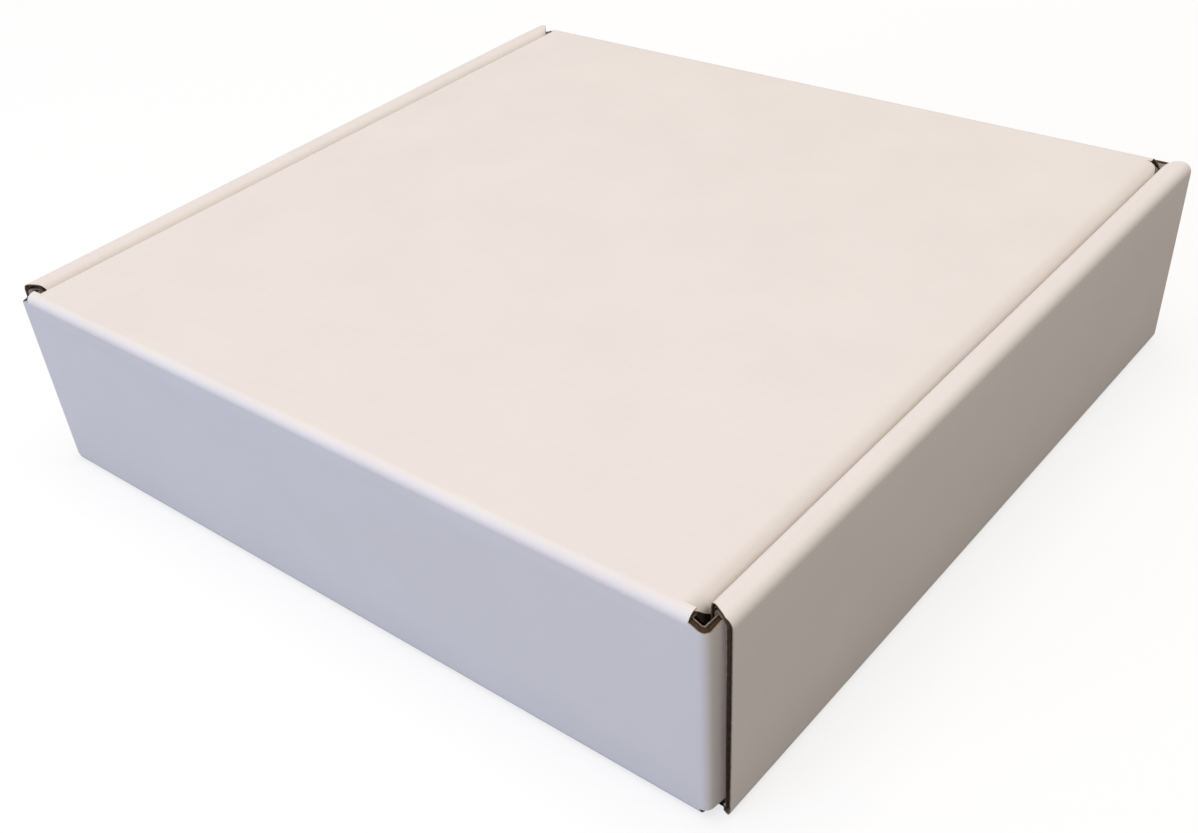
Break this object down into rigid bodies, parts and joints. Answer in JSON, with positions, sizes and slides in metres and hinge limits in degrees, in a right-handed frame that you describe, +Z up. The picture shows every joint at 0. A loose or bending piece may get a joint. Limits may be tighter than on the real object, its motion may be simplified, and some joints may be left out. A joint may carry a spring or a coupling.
{
  "type": "corrugated mailer box",
  "caption": "Shallow square mailer box of white corrugated board, with rolled double side walls and a hinged lid that tucks in at the front.",
  "frame": {"origin": "on the surface the box stands on, under the middle of its outline", "axes": "+X across the box along the lid's crease, +Y from the tuck side at the front to the crease at the back, +Z up"},
  "size_m": [0.2162, 0.21, 0.0522],
  "materials": {
    "white_board": "matt white liner on both faces, brown fluting at the cut edges"
  },
  "bodies": {
    "tray": {"tray": "white_board"},
    "lid": {"lid": "white_board"}
  },
  "joints": [
    {"name": "lid_crease", "type": "hinge", "parent": "tray", "child": "lid", "pos_m": [0, 0.1043, 0.0515], "axis": [-1, 0, 0], "range_deg": [0, 175]}
  ]
}
